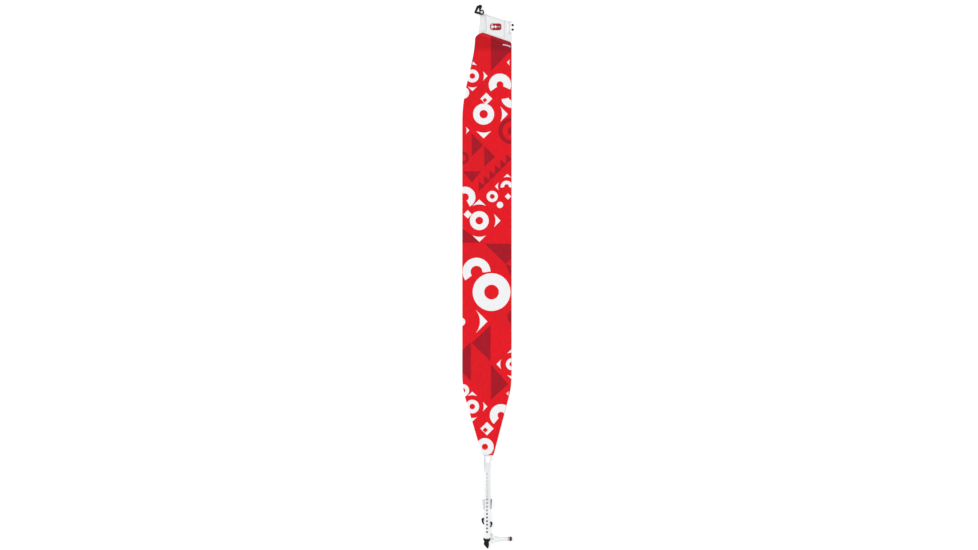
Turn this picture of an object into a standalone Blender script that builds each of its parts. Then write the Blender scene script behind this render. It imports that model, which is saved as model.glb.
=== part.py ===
"""One climbing skin of a splitboard pair, lying flat with its plush side up and its tip toward +Y."""

import math

import bmesh
import bpy

MM = 0.001
GAP = 0.3
EDGE_SOFTENING = 0.5
BORE_OVERRUN = 3.0
ROUND_STEPS = 20
FINE_ARC = 9.0
MEDIUM_ARC = 22.0
COARSE_ARC = 30.0

# The laminate, in millimetres.
SIDECUT_X = -73.6
INSIDE_X = 67.0
FABRIC_TOP_Y = 691.9
FABRIC_TOP_SLOPE = -0.34
TIP_FLARE_START_Y = 440.0
TIP_FLARE_END_Y = 684.0
TIP_FLARE_WIDTH = 36.5
TIP_FLARE_POWER = 1.15
TIP_FLARE_STEPS = 18
SIDECUT_CHAMFER = 19.0
SIDECUT_CHAMFER_RADIUS = 15.0
SIDECUT_CHAMFER_RUN = 28.0
INSIDE_CORNER_RADIUS = 8.0
TAIL_END_Y = -509.6
TAIL_LEFT_X = -17.3
TAIL_RIGHT_X = 15.6
TAIL_LEFT_BEND_Y = -317.5
TAIL_RIGHT_BEND_Y = -314.0
TAIL_BEND_RADIUS = 210.0
TAIL_CORNER_RADIUS = 1.5
TONGUE_LENGTH = 26.0
TONGUE_INSET = 4.0
TONGUE_EDGE = 0.4
TONGUE_LAP = 3.0
LAYER_STEP = 2.0
GLUE_Z = (0.0, 0.5)
MEMBRANE_Z = (0.8, 1.2)
PLUSH_Z = (1.5, 3.3)
TONGUE_Z = (0.0, 1.2)

# The tip plate and what it carries.
PLATE_LEFT_TOP = (-21.0, 744.0)
PLATE_LEFT_FOOT = (-28.5, 699.0)
PLATE_PEAK = (-6.0, 751.0)
PLATE_SHOULDER = (45.6, 733.5)
PLATE_RIGHT_TOP = (68.4, 729.5)
PLATE_RIGHT_X = 68.4
PLATE_Z = (0.0, 3.0)
PLATE_LIP = 0.6
COVER_LIFT = 3.5
COVER_LEFT_X = -3.4
COVER_RIGHT_X = 45.6
COVER_Z = (3.3, 5.6)
BADGE_CENTRE = (21.9, 713.2)
BADGE_SIZE = (32.0, 19.0)
BADGE_Z = (5.9, 6.8)
ROD_RADIUS = 1.5
ROD_BEAD_RADIUS = 1.8
ROD_BEAD_Z = (3.4, 6.9)
ROD_Z = 4.9
ROD_DROP = 3.1
ROD_END_INSET = 1.0
ROD_CHANNEL = 5.4

# The left arm with its swivelling hook.
ARM_PIVOT = (-14.2, 709.0)
ARM_ROOT_RADIUS = 9.4
ARM_Z = (3.3, 6.3)
HOOK_PIVOT = (-18.1, 754.2)
ARM_END_RADIUS = 6.6
HOOK_RING_RADIUS = 7.2
HOOK_Z = (6.6, 13.6)
HOOK_FOOT = (-20.3, 750.2)
HOOK_CORNER = (-36.4, 754.3)
HOOK_SHOULDER = (-29.2, 769.6)
HOOK_BLOB = (-21.6, 771.0)
HOOK_BEAK = (-23.6, 760.6)
HOOK_BAR_RADIUS = 2.9
HOOK_SHOULDER_RADIUS = 3.4
HOOK_BLOB_RADIUS = 4.6
HOOK_BEAK_RADIUS = 2.0
PIN_RADIUS = 2.2
PIN_BORE_RADIUS = 2.5
ARM_RIVET_HEAD = (4.0, 1.2)
HOOK_PIN_HEAD = (3.7, 1.0)
HOOK_PIN_FOOT_RADIUS = 4.2

# The right hook on its axle.
AXLE_X = 59.9
AXLE_Z = 3.9
AXLE_RADIUS = 1.3
AXLE_BORE_RADIUS = 1.6
HUB_RADIUS = 3.4
NOTCH_LEFT_X = 55.2
NOTCH_Y = (698.6, 725.2)
EAR_THICKNESS = 3.2
EAR_RADIUS = 3.4
EAR_FOOT_Z = 0.6
PRONG_RADIUS = 1.8
PRONG_END_X = 71.0
BALL_BORE = (64.0, 71.4)
PRONG_ROOT = 1.8
AXLE_OVERHANG = 0.8
HUB_Y = (701.4, 722.4)
BALL_X = 70.1
BALL_RADIUS = 3.5
BALL_Y = (705.3, 718.4)
BALL_Z = 4.5

# The perforated strap of the tail.
STRAP_X = -3.0
STRAP_HALF_WIDTH = 10.2
STRAP_THICKNESS = 2.5
STRAP_LOW_Z = 0.9
STRAP_HIGH_Z = 9.3
STRAP_END_Y = -745.5
RAMP_Y = (-547.0, -592.0)
RAMP_STEPS = 10
HOLE_COUNT = 17
HOLE_PITCH = 10.3
HOLE_FIRST_Y = -563.6
HOLE_RADIUS = 1.9
HOLE_STEPS = 16
YOKE_X = 0.6
YOKE_TOP_HALF = 12.4
YOKE_TOP_Y = -510.2
YOKE_FOOT_Y = -533.0
YOKE_OVERLAP = 0.5
WINDOW_X = -1.2
WINDOW_HALF = (5.8, 4.5)
WINDOW_Y = (-513.4, -530.8)
TAIL_TONGUE_Y = -487.0
TAIL_TONGUE_INSET = 3.5
TAIL_TONGUE_LAP = 2.0
CUTTER_Z = (-2.0, 16.0)

# The clip that slides on the strap.
CLIP_PLATE_Z = (4.6, 6.4)
CLIP_DECK_Z = 6.7
CLIP_TOP_Z = 9.0
GUIDE_Y = (-634.0, -663.6)
GUIDE_TOP_HALF = 14.7
GUIDE_FOOT_HALF = 12.3
GUIDE_LIP = 1.3
LIP_TOP_Z = 14.6
BODY_Y = (-671.5, -737.5)
BODY_HALF = 10.2
LEFT_LUG_Y = (-686.7, -706.7)
RIGHT_LUG_Y = (-697.6, -715.6)
LUG_OUTER = 16.4
LUG_INNER = 8.0
SLIDE_CLEARANCE = 0.4
SLOT_HEADROOM = 1.1
KNUCKLE_Y = -744.0
KNUCKLE_Z = 5.5
KNUCKLE_RADIUS = 3.2
KNUCKLE_X = (-8.7, 3.1)
KNUCKLE_ROOT_Y = -740.2
CLIP_PLATE_HALF = 8.0
KNUCKLE_PIN_RADIUS = 1.3
KNUCKLE_BORE_RADIUS = 1.6
LUG_PLATE_X = (8.7, 16.0)
LUG_PLATE_Y = (-733.0, -763.0)
CLIP_PLATE_INSET = 2.0

# The tail hook.
TAIL_HOOK_X = (-13.4, 6.8)
TAIL_HOOK_TOP_Z = (6.5, 8.9)
TAIL_HOOK_ROOT_Y = -748.4
TAIL_HOOK_SHOULDER_Y = -752.3
TAIL_NECK = ((-10.6, -756.2), (2.4, -756.8))
TAIL_LIP = ((-12.3, -759.4), (-11.9, -765.0), (-2.8, -775.6), (0.8, -775.6), (2.8, -766.0))
TAIL_WALL = ((-11.7, -764.8), (-2.6, -775.2), (0.6, -775.2), (1.3, -772.0), (-1.6, -772.0), (-9.4, -762.6))
TAIL_JAW = ((-11.7, -764.8), (-2.6, -775.2), (0.6, -775.2), (2.4, -766.0), (-3.0, -762.4), (-9.4, -761.8))
TAIL_JAW_Z = (0.3, 2.0)
TAIL_BRIDGE = ((0.0, 3.9), (-8.0, 5.5), (-8.0, 8.7), (0.0, 8.5))

# The arm that reaches to the inside edge of the board.
EDGE_PIVOT = (12.3, -748.6)
EDGE_BORE_RADIUS = 1.9
EDGE_RIVET_RADIUS = 1.6
EDGE_RIVET_HEAD = (2.8, 0.8)
EDGE_ARM_Z = (6.7, 9.1)
EDGE_ARM_ROOT = ((10.2, -746.0, 1.5), (10.2, -751.2, 1.5))
EDGE_ARM_FOOT = ((13.0, -759.0, 1.5), (17.0, -757.8, 6.0), (40.0, -754.4, 0.0), (56.0, -752.8, 0.5))
EDGE_ARM_HEAD = ((56.0, -743.4, 0.5), (40.0, -742.2, 0.0), (17.0, -740.0, 6.0), (13.0, -738.6, 1.5))
UPPER_RAIL = ((18.0, -742.2), (18.0, -740.5), (40.0, -742.3), (54.0, -743.4), (54.0, -745.0), (40.0, -744.0))
LOWER_RAIL = ((18.0, -757.3), (18.0, -755.5), (40.0, -752.6), (54.0, -751.2), (54.0, -752.8), (40.0, -754.3))
RAIL_RISE = 1.5
TANG_X = (54.0, 64.0)
TANG_Y = (-751.0, -745.6)
TANG_Z = (6.9, 8.9)
EDGE_PAD_X = (56.3, 68.6)
EDGE_PAD_Y = (-754.2, -742.0)
EDGE_PAD_Z = (0.5, 11.4)
EDGE_GROOVE_X = (50.0, 65.0)
EDGE_GROOVE_TOP = 5.4


def clear_scene():
    """Removes whatever a new file holds."""
    for item in list(bpy.data.objects):
        bpy.data.objects.remove(item, do_unlink=True)


def material(name, color, roughness, metallic=0.0):
    """A plain surface of one colour."""
    made = bpy.data.materials.new(name)
    made.use_nodes = True
    surface = made.node_tree.nodes["Principled BSDF"]
    surface.inputs["Base Color"].default_value = (*color, 1.0)
    surface.inputs["Roughness"].default_value = roughness
    surface.inputs["Metallic"].default_value = metallic
    return made


def put(name, bm, surface=None):
    """Turns a bmesh in millimetres into an object in metres."""
    bmesh.ops.scale(bm, vec=(MM, MM, MM), verts=bm.verts)
    bmesh.ops.recalc_face_normals(bm, faces=bm.faces)
    mesh = bpy.data.meshes.new(name)
    bm.to_mesh(mesh)
    bm.free()
    made = bpy.data.objects.new(name, mesh)
    if surface:
        mesh.materials.append(surface)
    bpy.context.scene.collection.objects.link(made)
    return smooth(made)


def prism(name, outline, low, high, surface=None):
    """A plate of one outline between two heights."""
    bm = bmesh.new()
    face = bm.faces.new([bm.verts.new((x, y, low)) for x, y in outline])
    raised = bmesh.ops.extrude_face_region(bm, geom=[face])["geom"]
    moved = [item for item in raised if isinstance(item, bmesh.types.BMVert)]
    bmesh.ops.translate(bm, vec=(0.0, 0.0, high - low), verts=moved)
    return put(name, bm, surface)


def side_prism(name, profile, left, right, surface=None):
    """A bar along X whose (y, z) profile is given."""
    bm = bmesh.new()
    face = bm.faces.new([bm.verts.new((left, y, z)) for y, z in profile])
    raised = bmesh.ops.extrude_face_region(bm, geom=[face])["geom"]
    moved = [item for item in raised if isinstance(item, bmesh.types.BMVert)]
    bmesh.ops.translate(bm, vec=(right - left, 0.0, 0.0), verts=moved)
    return put(name, bm, surface)


def upright_bore(name, centre, radius, span):
    """A cutter that runs through a plate between two heights."""
    return disc(name, centre, radius, span[0] - BORE_OVERRUN, span[1] + BORE_OVERRUN)


def box(name, x, y, z, surface=None):
    """A block between two corners."""
    outline = [(x[0], y[0]), (x[1], y[0]), (x[1], y[1]), (x[0], y[1])]
    return prism(name, outline, z[0], z[1], surface)


def circle(centre, radius, steps=ROUND_STEPS):
    """Points of a circle, anticlockwise."""
    turns = [2.0 * math.pi * step / steps for step in range(steps)]
    return [(centre[0] + radius * math.cos(a), centre[1] + radius * math.sin(a)) for a in turns]


def disc(name, centre, radius, low, high, surface=None, steps=ROUND_STEPS):
    """An upright cylinder."""
    return prism(name, circle(centre, radius, steps), low, high, surface)


def bar_along(name, start, end, radius, surface=None, steps=16):
    """A round bar between two points in space, in millimetres."""
    run = [b - a for a, b in zip(start, end)]
    length = math.sqrt(sum(part * part for part in run))
    bm = bmesh.new()
    bmesh.ops.create_cone(bm, cap_ends=True, segments=steps, radius1=radius, radius2=radius, depth=length)
    made = put(name, bm, surface)
    made.location = [(a + b) / 2.0 * MM for a, b in zip(start, end)]
    made.rotation_euler = (0.0, math.acos(run[2] / length), math.atan2(run[1], run[0]))
    return made


def ball(name, centre, radius, surface=None, rings=14, segments=22):
    """A sphere."""
    bm = bmesh.new()
    bmesh.ops.create_uvsphere(bm, u_segments=segments, v_segments=rings, radius=radius)
    bmesh.ops.translate(bm, vec=centre, verts=bm.verts)
    return put(name, bm, surface)


def combine(target, other, how):
    """Adds a Boolean of a hidden helper to the target."""
    other.hide_render = True
    other.display_type = "WIRE"
    step = target.modifiers.new(how.lower(), "BOOLEAN")
    step.operation = how
    step.solver = "EXACT"
    step.object = other
    return target


def cut(target, other):
    """Takes the helper's volume away."""
    return combine(target, other, "DIFFERENCE")


def join(target, other):
    """Adds the helper's volume."""
    return combine(target, other, "UNION")


def soften(target, width, segments=2, angle=40.0):
    """Rounds the edges that are sharper than the angle."""
    step = target.modifiers.new("soften", "BEVEL")
    step.width = width * MM
    step.segments = segments
    step.limit_method = "ANGLE"
    step.angle_limit = math.radians(angle)
    step.harden_normals = False
    return target


def smooth(target, angle=35.0):
    """Smooth shading with the sharp edges kept."""
    target.data.shade_smooth()
    target.data.set_sharp_from_angle(angle=math.radians(angle))
    return target


def rounded(corners, arc_step=12.0):
    """A closed outline whose (x, y, radius) corners are turned into arcs."""
    outline = []
    count = len(corners)
    for index, (x, y, radius) in enumerate(corners):
        before = corners[index - 1]
        after = corners[(index + 1) % count]
        if radius <= 0.0:
            outline.append((x, y))
            continue
        back = (before[0] - x, before[1] - y)
        ahead = (after[0] - x, after[1] - y)
        back_length = math.hypot(*back)
        ahead_length = math.hypot(*ahead)
        back = (back[0] / back_length, back[1] / back_length)
        ahead = (ahead[0] / ahead_length, ahead[1] / ahead_length)
        between = math.acos(max(-1.0, min(1.0, back[0] * ahead[0] + back[1] * ahead[1])))
        reach = radius / math.tan(between / 2.0)
        start = (x + back[0] * reach, y + back[1] * reach)
        half = (back[0] + ahead[0], back[1] + ahead[1])
        half_length = math.hypot(*half)
        away = radius / math.sin(between / 2.0)
        centre = (x + half[0] / half_length * away, y + half[1] / half_length * away)
        first = math.atan2(start[1] - centre[1], start[0] - centre[0])
        turn = math.pi - between
        side = back[0] * ahead[1] - back[1] * ahead[0]
        sign = 1.0 if side < 0.0 else -1.0
        steps = max(2, math.ceil(math.degrees(turn) / arc_step))
        for step in range(steps + 1):
            angle = first + sign * turn * step / steps
            outline.append((centre[0] + radius * math.cos(angle), centre[1] + radius * math.sin(angle)))
    return outline


def sidecut_edge(y):
    """X of the edge on the sidecut side, above the straight part."""
    along = (y - TIP_FLARE_START_Y) / (TIP_FLARE_END_Y - TIP_FLARE_START_Y)
    along = max(0.0, min(1.0, along)) ** TIP_FLARE_POWER
    return SIDECUT_X + TIP_FLARE_WIDTH * along * along * (3.0 - 2.0 * along)


def top_edge(x, drop):
    """Y of the slanted top edge, lowered by the drop."""
    return FABRIC_TOP_Y - drop + FABRIC_TOP_SLOPE * x


def tail_edge_x(y, bend_x, bend_y, end_x):
    """X of a tapering tail side at a height."""
    return end_x + (bend_x - end_x) * (y - TAIL_END_Y) / (bend_y - TAIL_END_Y)


def laminate_outline(tip_drop=0.0, tail_rise=0.0):
    """The skin's outline; its tip and tail ends may be cut back."""
    end_y = TAIL_END_Y + tail_rise
    left_end = tail_edge_x(end_y, SIDECUT_X, TAIL_LEFT_BEND_Y, TAIL_LEFT_X)
    right_end = tail_edge_x(end_y, INSIDE_X, TAIL_RIGHT_BEND_Y, TAIL_RIGHT_X)
    corner_y = TIP_FLARE_END_Y
    for _ in range(8):
        corner_y = top_edge(sidecut_edge(corner_y), tip_drop)
    chamfer_x = sidecut_edge(corner_y) + SIDECUT_CHAMFER
    chamfer_y = corner_y - SIDECUT_CHAMFER
    corners = [
        (left_end, end_y, TAIL_CORNER_RADIUS),
        (right_end, end_y, TAIL_CORNER_RADIUS),
        (INSIDE_X, TAIL_RIGHT_BEND_Y, TAIL_BEND_RADIUS),
        (INSIDE_X, top_edge(INSIDE_X, tip_drop), INSIDE_CORNER_RADIUS),
        (chamfer_x, top_edge(chamfer_x, tip_drop), SIDECUT_CHAMFER_RADIUS),
        (sidecut_edge(chamfer_y), chamfer_y, SIDECUT_CHAMFER_RADIUS),
    ]
    last_y = corner_y - SIDECUT_CHAMFER_RUN
    for step in range(TIP_FLARE_STEPS + 1):
        y = last_y + (TIP_FLARE_START_Y - last_y) * step / TIP_FLARE_STEPS
        corners.append((sidecut_edge(y), y, 0.0))
    corners.append((SIDECUT_X, TAIL_LEFT_BEND_Y, TAIL_BEND_RADIUS))
    return rounded(corners, FINE_ARC)


def make_laminate(red, film, glue):
    """Plush, film and glue, one over the other."""
    prism("plush_fabric", laminate_outline(), PLUSH_Z[0], PLUSH_Z[1], red)
    cut_back = laminate_outline(TONGUE_LENGTH + LAYER_STEP, TAIL_TONGUE_Y - TAIL_END_Y + LAYER_STEP)
    prism("backing_film", cut_back, MEMBRANE_Z[0], MEMBRANE_Z[1], film)
    prism("glue_coat", cut_back, GLUE_Z[0], GLUE_Z[1], glue)


def tip_plate_outline():
    """The pale plate beyond the fabric's slanted edge."""
    foot_left = (PLATE_LEFT_FOOT[0], top_edge(PLATE_LEFT_FOOT[0], 0.0) + PLATE_LIP)
    foot_right = (PLATE_RIGHT_X, top_edge(PLATE_RIGHT_X, 0.0) + PLATE_LIP)
    return [
        (foot_left[0], foot_left[1], 1.5),
        (foot_right[0], foot_right[1], 2.0),
        (PLATE_RIGHT_X, NOTCH_Y[0], 1.0),
        (NOTCH_LEFT_X, NOTCH_Y[0], 1.0),
        (NOTCH_LEFT_X, NOTCH_Y[1], 1.0),
        (PLATE_RIGHT_X, NOTCH_Y[1], 1.0),
        (PLATE_RIGHT_TOP[0], PLATE_RIGHT_TOP[1], 2.0),
        (PLATE_SHOULDER[0], PLATE_SHOULDER[1], 3.0),
        (PLATE_PEAK[0], PLATE_PEAK[1], 4.0),
        (PLATE_LEFT_TOP[0], PLATE_LEFT_TOP[1], 3.0),
    ]


def make_tip_plate(pale):
    """The plate, its tongue under the plush and the two ears of the axle."""
    plate = prism("tip_plate", rounded(tip_plate_outline(), MEDIUM_ARC), PLATE_Z[0], PLATE_Z[1], pale)
    soften(plate, EDGE_SOFTENING, 2, 50.0)
    left = PLATE_LEFT_FOOT[0] + TONGUE_EDGE
    right = INSIDE_X - TONGUE_INSET
    tongue = [
        (left, top_edge(left, TONGUE_LENGTH), 4.0),
        (right, top_edge(right, TONGUE_LENGTH), 4.0),
        (right, top_edge(right, -TONGUE_LAP), 0.0),
        (left, top_edge(left, -TONGUE_LAP), 0.0),
    ]
    join(plate, prism("tip_tongue_helper", rounded(tongue, COARSE_ARC), TONGUE_Z[0], TONGUE_Z[1]))
    low, high = NOTCH_Y
    for index, (start, end) in enumerate(((low - EAR_THICKNESS, low), (high, high + EAR_THICKNESS))):
        profile = [(AXLE_X - EAR_RADIUS, EAR_FOOT_Z), (AXLE_X + EAR_RADIUS, EAR_FOOT_Z)]
        profile += circle((AXLE_X, AXLE_Z), EAR_RADIUS)[: ROUND_STEPS // 2 + 1]
        join(plate, ear_block("ear_helper_%d" % index, profile, start, end))
    bore = bar_along(
        "axle_bore_helper",
        (AXLE_X, low - EAR_THICKNESS - BORE_OVERRUN, AXLE_Z),
        (AXLE_X, high + EAR_THICKNESS + BORE_OVERRUN, AXLE_Z),
        AXLE_BORE_RADIUS,
    )
    cut(plate, bore)
    cut(plate, upright_bore("arm_seat_helper", ARM_PIVOT, PIN_BORE_RADIUS, PLATE_Z))


def ear_block(name, profile, start, end):
    """A block along Y whose (x, z) profile is given."""
    bm = bmesh.new()
    face = bm.faces.new([bm.verts.new((x, start, z)) for x, z in profile])
    raised = bmesh.ops.extrude_face_region(bm, geom=[face])["geom"]
    moved = [item for item in raised if isinstance(item, bmesh.types.BMVert)]
    bmesh.ops.translate(bm, vec=(0.0, end - start, 0.0), verts=moved)
    return put(name, bm)


def make_cover(pale, mark, steel):
    """The raised panel in the middle, its badge and the rod along its top edge."""
    slope = (PLATE_SHOULDER[1] - PLATE_PEAK[1]) / (PLATE_SHOULDER[0] - PLATE_PEAK[0])

    def upper(x, drop):
        return PLATE_PEAK[1] + slope * (x - PLATE_PEAK[0]) - drop

    corners = [
        (COVER_LEFT_X, top_edge(COVER_LEFT_X, -COVER_LIFT), 2.0),
        (COVER_RIGHT_X, top_edge(COVER_RIGHT_X, -COVER_LIFT), 2.0),
        (COVER_RIGHT_X, upper(COVER_RIGHT_X, ROD_CHANNEL), 2.0),
        (COVER_LEFT_X, upper(COVER_LEFT_X, ROD_CHANNEL), 2.0),
    ]
    cover = prism("tip_cover", rounded(corners, COARSE_ARC), COVER_Z[0], COVER_Z[1], pale)
    soften(cover, 0.9)
    half_x = BADGE_SIZE[0] / 2.0
    half_y = BADGE_SIZE[1] / 2.0
    x, y = BADGE_CENTRE
    badge = [
        (x - half_x, y - half_y, 6.0),
        (x + half_x, y - half_y, 6.0),
        (x + half_x, y + half_y, 6.0),
        (x - half_x, y + half_y, 6.0),
    ]
    soften(prism("tip_badge", rounded(badge, 18.0), BADGE_Z[0], BADGE_Z[1], mark), 0.35, 1)
    left = COVER_LEFT_X + ROD_END_INSET
    right = COVER_RIGHT_X - ROD_END_INSET
    start = (left, upper(left, ROD_DROP), ROD_Z)
    end = (right, upper(right, ROD_DROP), ROD_Z)
    rod = bar_along("tip_rod", start, end, ROD_RADIUS, steel)
    for index, centre in enumerate((start[:2], end[:2])):
        join(rod, disc("rod_bead_helper_%d" % index, centre, ROD_BEAD_RADIUS, *ROD_BEAD_Z))


def capsule(start, end, first_radius, last_radius, steps=12):
    """The outline of a link with two round ends."""
    heading = math.atan2(end[1] - start[1], end[0] - start[0])
    length = math.hypot(end[0] - start[0], end[1] - start[1])
    lean = math.asin((first_radius - last_radius) / length)
    outline = []
    for step in range(steps + 1):
        spread = math.pi / 2.0 - lean
        angle = heading - spread + 2.0 * spread * step / steps
        outline.append((end[0] + last_radius * math.cos(angle), end[1] + last_radius * math.sin(angle)))
    for step in range(steps + 1):
        spread = math.pi / 2.0 + lean
        angle = heading + math.pi - spread + 2.0 * spread * step / steps
        outline.append((start[0] + first_radius * math.cos(angle), start[1] + first_radius * math.sin(angle)))
    return outline


def rivet(name, centre, span, shank, foot, head, surface):
    """A shank with a flat (radius, thickness) head at each end."""
    low, high = span
    made = disc(name, centre, shank, low, high, surface)
    overlap = 0.1
    if foot:
        join(made, disc(name + "_foot_helper", centre, foot[0], low - foot[1], low + overlap))
    join(made, disc(name + "_head_helper", centre, head[0], high - overlap, high + head[1]))
    return made


def make_left_arm(pale, black, steel):
    """The arm on the plate, and the hook that swivels at its end."""
    arm = prism(
        "left_arm",
        capsule(ARM_PIVOT, HOOK_PIVOT, ARM_ROOT_RADIUS, ARM_END_RADIUS),
        ARM_Z[0],
        ARM_Z[1],
        pale,
    )
    for index, centre in enumerate((ARM_PIVOT, HOOK_PIVOT)):
        cut(arm, upright_bore("arm_bore_helper_%d" % index, centre, PIN_BORE_RADIUS, ARM_Z))
    soften(arm, EDGE_SOFTENING, 1)
    span = (PLATE_Z[0] + GAP, ARM_Z[1] + GAP)
    rivet("left_arm_rivet", ARM_PIVOT, span, PIN_RADIUS, None, ARM_RIVET_HEAD, steel)
    hook = disc("left_hook", HOOK_PIVOT, HOOK_RING_RADIUS, HOOK_Z[0], HOOK_Z[1], black, 28)
    bars = (
        (HOOK_FOOT, HOOK_CORNER, HOOK_BAR_RADIUS, HOOK_BAR_RADIUS),
        (HOOK_CORNER, HOOK_SHOULDER, HOOK_BAR_RADIUS, HOOK_SHOULDER_RADIUS),
        (HOOK_SHOULDER, HOOK_BLOB, HOOK_SHOULDER_RADIUS, HOOK_BLOB_RADIUS),
        (HOOK_BLOB, HOOK_BEAK, HOOK_BLOB_RADIUS, HOOK_BEAK_RADIUS),
    )
    for index, (start, end, first, last) in enumerate(bars):
        join(
            hook,
            prism(
                "hook_bar_helper_%d" % index,
                capsule(start, end, first, last, 10),
                HOOK_Z[0],
                HOOK_Z[1],
            ),
        )
    cut(hook, upright_bore("hook_bore_helper", HOOK_PIVOT, PIN_BORE_RADIUS, HOOK_Z))
    soften(hook, 2.0 * EDGE_SOFTENING, 2, 50.0)
    span = (ARM_Z[0] - GAP, HOOK_Z[1] + GAP)
    foot = (HOOK_PIN_FOOT_RADIUS, HOOK_PIN_HEAD[1])
    rivet("left_hook_pin", HOOK_PIVOT, span, PIN_RADIUS, foot, HOOK_PIN_HEAD, steel)


def make_right_hook(pale, steel):
    """The two-pronged hook that swings on an axle along the inside edge."""
    bar_along(
        "right_axle",
        (AXLE_X, NOTCH_Y[0] - EAR_THICKNESS - AXLE_OVERHANG, AXLE_Z),
        (AXLE_X, NOTCH_Y[1] + EAR_THICKNESS + AXLE_OVERHANG, AXLE_Z),
        AXLE_RADIUS,
        steel,
    )
    start = (AXLE_X, HUB_Y[0], AXLE_Z)
    end = (AXLE_X, HUB_Y[1], AXLE_Z)
    hub = bar_along("right_hook", start, end, HUB_RADIUS, pale, ROUND_STEPS)
    for index, y in enumerate(BALL_Y):
        root = (AXLE_X + PRONG_ROOT, y, BALL_Z)
        join(hub, bar_along("prong_helper_%d" % index, root, (PRONG_END_X, y, BALL_Z), PRONG_RADIUS))
    bore_start = (AXLE_X, HUB_Y[0] - BORE_OVERRUN, AXLE_Z)
    bore_end = (AXLE_X, HUB_Y[1] + BORE_OVERRUN, AXLE_Z)
    cut(hub, bar_along("hub_bore_helper", bore_start, bore_end, AXLE_BORE_RADIUS))


def make_hook_balls(black):
    """The round cap on each prong."""
    for name, y in zip(("lower_hook_ball", "upper_hook_ball"), BALL_Y):
        cap = ball(name, (BALL_X, y, BALL_Z), BALL_RADIUS, black)
        ends = [(x, y, BALL_Z) for x in BALL_BORE]
        cut(cap, bar_along(name + "_bore_helper", ends[0], ends[1], PRONG_RADIUS + GAP))


def strap_height(y):
    """Z of the strap's underside: low at the yoke, high over the clip."""
    along = (RAMP_Y[0] - y) / (RAMP_Y[0] - RAMP_Y[1])
    along = max(0.0, min(1.0, along))
    return STRAP_LOW_Z + (STRAP_HIGH_Z - STRAP_LOW_Z) * along * along * (3.0 - 2.0 * along)


def make_strap(white):
    """One moulding: tongue under the plush, yoke with its window, perforated band."""
    stations = [YOKE_FOOT_Y + YOKE_OVERLAP]
    for step in range(RAMP_STEPS + 1):
        stations.append(RAMP_Y[0] + (RAMP_Y[1] - RAMP_Y[0]) * step / RAMP_STEPS)
    stations.append(STRAP_END_Y)
    under = [(y, strap_height(y)) for y in stations]
    over = [(y, z + STRAP_THICKNESS) for y, z in reversed(under)]
    strap = side_prism(
        "tail_strap", under + over, STRAP_X - STRAP_HALF_WIDTH, STRAP_X + STRAP_HALF_WIDTH, white
    )
    yoke = [
        (YOKE_X - YOKE_TOP_HALF, YOKE_TOP_Y, 1.0),
        (STRAP_X - STRAP_HALF_WIDTH, YOKE_FOOT_Y, 0.0),
        (STRAP_X + STRAP_HALF_WIDTH, YOKE_FOOT_Y, 0.0),
        (YOKE_X + YOKE_TOP_HALF, YOKE_TOP_Y, 1.0),
    ]
    join(strap, prism("yoke_helper", rounded(yoke, COARSE_ARC), STRAP_LOW_Z, STRAP_LOW_Z + STRAP_THICKNESS))
    top_left = tail_edge_x(TAIL_TONGUE_Y, SIDECUT_X, TAIL_LEFT_BEND_Y, TAIL_LEFT_X) + TAIL_TONGUE_INSET
    top_right = tail_edge_x(TAIL_TONGUE_Y, INSIDE_X, TAIL_RIGHT_BEND_Y, TAIL_RIGHT_X) - TAIL_TONGUE_INSET
    tongue = [
        (YOKE_X - YOKE_TOP_HALF, YOKE_TOP_Y - TAIL_TONGUE_LAP, 0.0),
        (YOKE_X + YOKE_TOP_HALF, YOKE_TOP_Y - TAIL_TONGUE_LAP, 0.0),
        (top_right, TAIL_TONGUE_Y, 2.0),
        (top_left, TAIL_TONGUE_Y, 2.0),
    ]
    join(strap, prism("tail_tongue_helper", rounded(tongue, COARSE_ARC), TONGUE_Z[0], TONGUE_Z[1]))
    window = [
        (WINDOW_X - WINDOW_HALF[1], WINDOW_Y[1], 3.8),
        (WINDOW_X + WINDOW_HALF[1], WINDOW_Y[1], 3.8),
        (WINDOW_X + WINDOW_HALF[0], WINDOW_Y[0], 2.0),
        (WINDOW_X - WINDOW_HALF[0], WINDOW_Y[0], 2.0),
    ]
    cut(strap, prism("window_helper", rounded(window, MEDIUM_ARC), *CUTTER_Z))
    for index in range(HOLE_COUNT):
        centre = (STRAP_X, HOLE_FIRST_Y - HOLE_PITCH * index)
        cut(strap, disc("hole_helper_%02d" % index, centre, HOLE_RADIUS, *CUTTER_Z, steps=HOLE_STEPS))


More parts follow.
